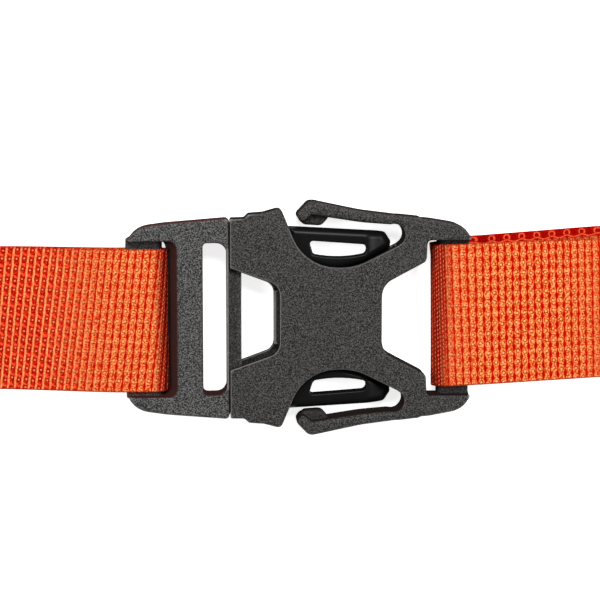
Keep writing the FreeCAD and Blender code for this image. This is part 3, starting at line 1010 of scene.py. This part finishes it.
def stitches(name, seams, height, sideways):
    """Every stitch of a seam, as a thread that bulges out of the cloth and dives back into it."""
    vertices, faces = [], []
    for start, end in seams:
        start, end = np.array(start), np.array(end)
        length = np.linalg.norm(end - start)
        forward = (end - start) / length
        left = np.array((-forward[1], forward[0]))
        count = max(round(length / STITCH), 1)
        for k in range(count):
            center = start + (end - start) * (k + 0.5) / count
            first = len(vertices)
            for t in np.linspace(-1, 1, RINGS):
                plump = max((1 - abs(t) ** 3) ** 0.5, 0.12)
                for a in np.arange(SIDES) * 2 * np.pi / SIDES:
                    flat = center + forward * (t * STITCH_HALF) + left * (THREAD_WIDE * plump * math.cos(a))
                    z = height - 0.10 + BULGE * (1 - t * t) + THREAD_HIGH * plump * math.sin(a)
                    vertices.append((flat[0], flat[1] + sideways(flat[0], height, flat[1]), z))
            for r in range(RINGS - 1):
                ring = first + SIDES * r
                for a in range(SIDES):
                    b = (a + 1) % SIDES
                    faces.append([ring + a, ring + b, ring + SIDES + b, ring + SIDES + a])
            last = first + SIDES * (RINGS - 1)
            faces.append(list(range(first, first + SIDES))[::-1])
            faces.append(list(range(last, last + SIDES)))
    obj = new_object(name, vertices, faces, orange_thread)
    face_outwards(obj.data)
    return obj


near_x, far_x, seam_y = seam_low[0] + 0.4, seam_high[0] - 0.4, seam_high[1] - 0.4
a, b, c, d = (near_x, -seam_y), (far_x, -seam_y), (far_x, seam_y), (near_x, seam_y)
box_seams = [(a, b), (b, c), (c, d), (d, a), (a, c), (b, d)]
for name, side, sideways in (("short", 1, drift), ("long", -1, settle)):
    seams = [((side * p[0], p[1]), (side * q[0], q[1])) for p, q in box_seams]
    sewing = stitches(name + "_strap_thread", seams, 2 * thickness, sideways)
    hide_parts(name + "_strap_stitching")
    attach(sewing, name + "_strap")


# ---------------- ladder lock
block = Block(lock_low, lock_high)
rim = block.plan(both_sides([(lock_low[0], 31.5, 3.0), (lock_high[0], 31.5, 5.0)]))
body = meet(rim, block.layer(lock_low[2], lock_high[2]), 1.5)
opening = block.plan(both_sides([(lock_low[0] - 9, 26.5, 0), (lock_high[0] - 6.0, 26.5, 1.5)]))
body = cut(body, opening, 0.9)
across = np.abs(block.y) - bar_reach
round_bar = np.maximum(np.hypot(block.x - lock_x, block.z - lock_z) - 1.8, across)
body = join(body, round_bar, 0.7)
grip_foot, grip_top = lock_z - 1.5, lock_high[2]
grip = block.side([(167.0, grip_foot, 1.0), (168.0, grip_top, 0.6), (172.0, grip_top, 1.0),
                   (172.0, grip_foot, 1.0)])
teeth = 0.21 * np.abs(np.sin(np.pi * block.y / 2.6)) * (block.z > lock_z + 1.8)
body = join(body, np.maximum(grip + teeth, across), 0.6)
for ridge_x in (182.3, 184.3):
    groove = np.hypot(block.x - ridge_x, block.z - lock_high[2] - 0.15) - 0.55
    body = cut(body, np.maximum(groove, np.abs(block.y) - 17.0), 0.15)
moulded("ladder_lock_moulding", block, body, grained, "ladder_lock", "ladder_lock")


# ---------------- hook-and-loop tie round the roll
def turn_across(obj, center_x):
    """Turn a ribbon made along X so that it runs along Y over center_x."""
    obj.data.transform(Matrix.Translation((center_x * MM, 0, 0)) @ Matrix.Rotation(math.pi / 2, 4, "Z"))


tie_half = (tie_high[0] - tie_low[0]) / 2
tie_thick = 1.5
side_y = tie_high[1] - tie_thick / 2
tie_bottom, tie_top = tie_low[2] + tie_thick / 2, tie_high[2] - tie_thick / 2
corners = ((-side_y, tie_bottom), (side_y, tie_bottom), (side_y, tie_top), (-side_y, tie_top))
band = rounded([(y, z, 2.2) for y, z in corners], 8)
band = np.concatenate([band, band[:1]])
band_length = arc_lengths(band)[-1]
stations, fine = spaced(band_length, [], lambda u: 1.0)
tie = ribbon("roll_tie_band", band, stations[:-1], fine[:-1], tie_half, tie_thick, nap, closed=True)
turn_across(tie, roll_x)
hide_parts("roll_tie")
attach(tie, "long_strap")
2 * tie_half * MM

tab_z = (tab_low[2] + tab_high[2]) / 2
tab_path = rounded([(tab_low[1], tab_z, 0), (9.0, tab_z, 25.0), (tab_high[1], tab_z + 0.5, 0)], 8)
tab_length = arc_lengths(tab_path)[-1]
stations, fine = spaced(tab_length, [], lambda u: 0.8)


def tongue(y):
    """How wide the tab is there: its end is rounded off."""
    past = max(y - (tab_high[1] - 4.0), 0) / 4.0
    return math.sqrt(max(1 - 0.75 * past ** 2, 0.1))


tab = ribbon("roll_tie_end", tab_path, stations, fine, tie_half, tie_thick, nap, taper=tongue)
turn_across(tab, roll_x)
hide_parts("roll_tie_tab")
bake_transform(tab)
2 * tie_half * MM


# ---------------- floor, lights and camera
scene = bpy.context.scene
scene.view_settings.view_transform = "Standard"
scene.view_settings.look = "None"

paper, _, shader = new_material("white paper")
give(shader, Base_Color=(0.9, 0.9, 0.9), Roughness=0.9, Specular_IOR_Level=0.1, Emission_Color=(1, 1, 1),
     Emission_Strength=0.78)
floor_reach, floor_z = 3500, -0.05
corners = [(x * floor_reach, y * floor_reach, floor_z) for x, y in ((-1, -1), (1, -1), (1, 1), (-1, 1))]
floor = new_object("floor", corners, [(0, 1, 2, 3)], paper)

world = bpy.data.worlds.new("studio")
world.use_nodes = True
give(world.node_tree.nodes["Background"], Color=(1, 1, 1), Strength=0.22)
scene.world = world


def panel(name, where, aim, wide, deep_shade, power):
    light = bpy.data.lights.new(name, "AREA")
    light.shape = "RECTANGLE"
    light.size, light.size_y, light.energy = wide, deep_shade, power
    obj = bpy.data.objects.new(name, light)
    scene.collection.objects.link(obj)
    obj.location = where
    obj.rotation_euler = (Vector(aim) - Vector(where)).to_track_quat("-Z", "Y").to_euler()


panel("back", (0.05, 0.50, 0.75), (0, 0, 0), 0.45, 0.25, 5.6)
panel("left", (-0.60, 0.10, 0.55), (0, 0, 0), 0.25, 0.25, 2.2)
panel("right", (0.60, 0.10, 0.55), (0, 0, 0), 0.25, 0.25, 2.4)

camera = bpy.data.cameras.new("camera")
sensor = 36.0                           # mm
camera_distance = 0.62                  # m
view_width = 0.2085                     # of the object's plane, m
camera.sensor_width = sensor
camera.lens = sensor * camera_distance / view_width
camera.clip_start = 0.01
view_from = bpy.data.objects.new("camera", camera)
scene.collection.objects.link(view_from)
aim = Vector((0.0005, 0.0065, 0.010))
tilt, lean = math.radians(6.5), math.radians(3.0)
away = Vector((-math.sin(lean), math.sin(tilt), math.cos(tilt))).normalized()
right = Vector((0, 1, 0)).cross(away).normalized()
above = away.cross(right)
pose = Matrix((right, above, away)).transposed().to_4x4()
pose.translation = aim + away * camera_distance
view_from.matrix_world = pose
scene.camera = view_from
